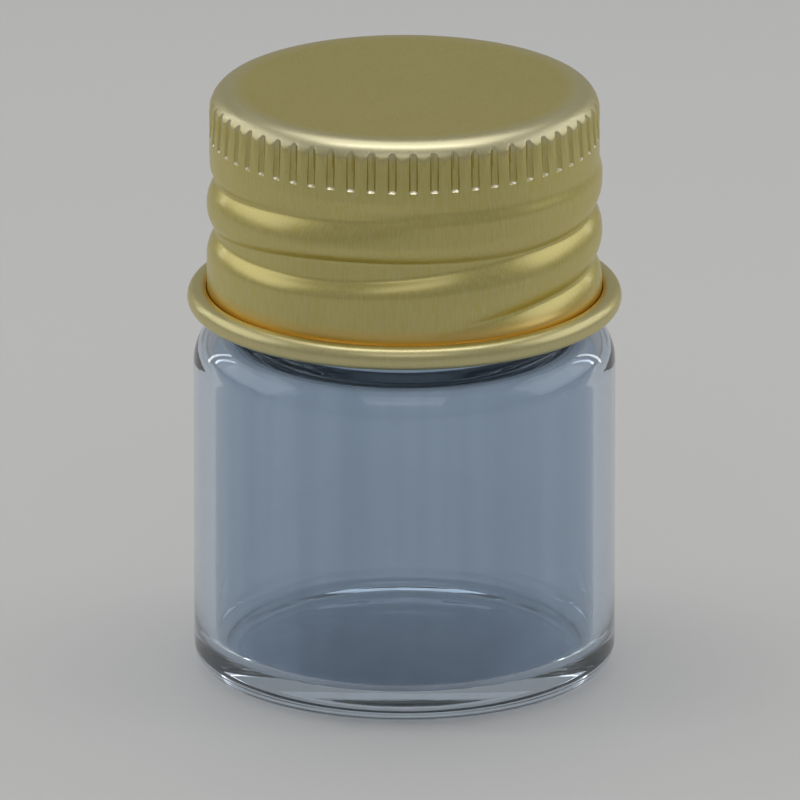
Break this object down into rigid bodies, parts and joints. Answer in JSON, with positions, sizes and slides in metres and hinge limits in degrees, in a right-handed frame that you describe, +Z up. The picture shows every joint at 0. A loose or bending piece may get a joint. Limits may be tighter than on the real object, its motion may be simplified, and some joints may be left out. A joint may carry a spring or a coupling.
{
  "type": "screw-cap sample vial",
  "caption": "Small clear glass vial with a knurled gold aluminium screw cap and a soft liner, for keeping small samples.",
  "frame": {"origin": "centre of the ring that the vial stands on", "axes": "+Z up along the vial's axis; -Y is the side the knurl and the thread are counted from"},
  "size_m": [0.0226, 0.0226, 0.0314],
  "materials": {
    "clear_glass": "clear, fire-polished",
    "gold_aluminium": "satin gold anodised, with fine vertical grain on the skirt",
    "liner_foam": "closed-cell foam",
    "liner_film": "smooth film"
  },
  "bodies": {
    "vial": {"glass_vial": "clear_glass"},
    "liner": {"liner_backing": "liner_foam", "liner_facing": "liner_film"},
    "cap": {"cap_shell": "gold_aluminium"}
  },
  "joints": [
    {"name": "cap_lift", "type": "slide", "parent": "vial", "child": "liner", "axis": [0, 0, 1], "range_m": [0, 0.0112]},
    {"name": "cap_turn", "type": "hinge", "parent": "liner", "child": "cap", "pos_m": [0, 0, 0.025], "axis": [0, 0, 1], "range_deg": [0, 1440]}
  ],
  "couplings": [
    {"joint": "cap_turn", "follows": "cap_lift", "rad_per_m": 2244}
  ]
}
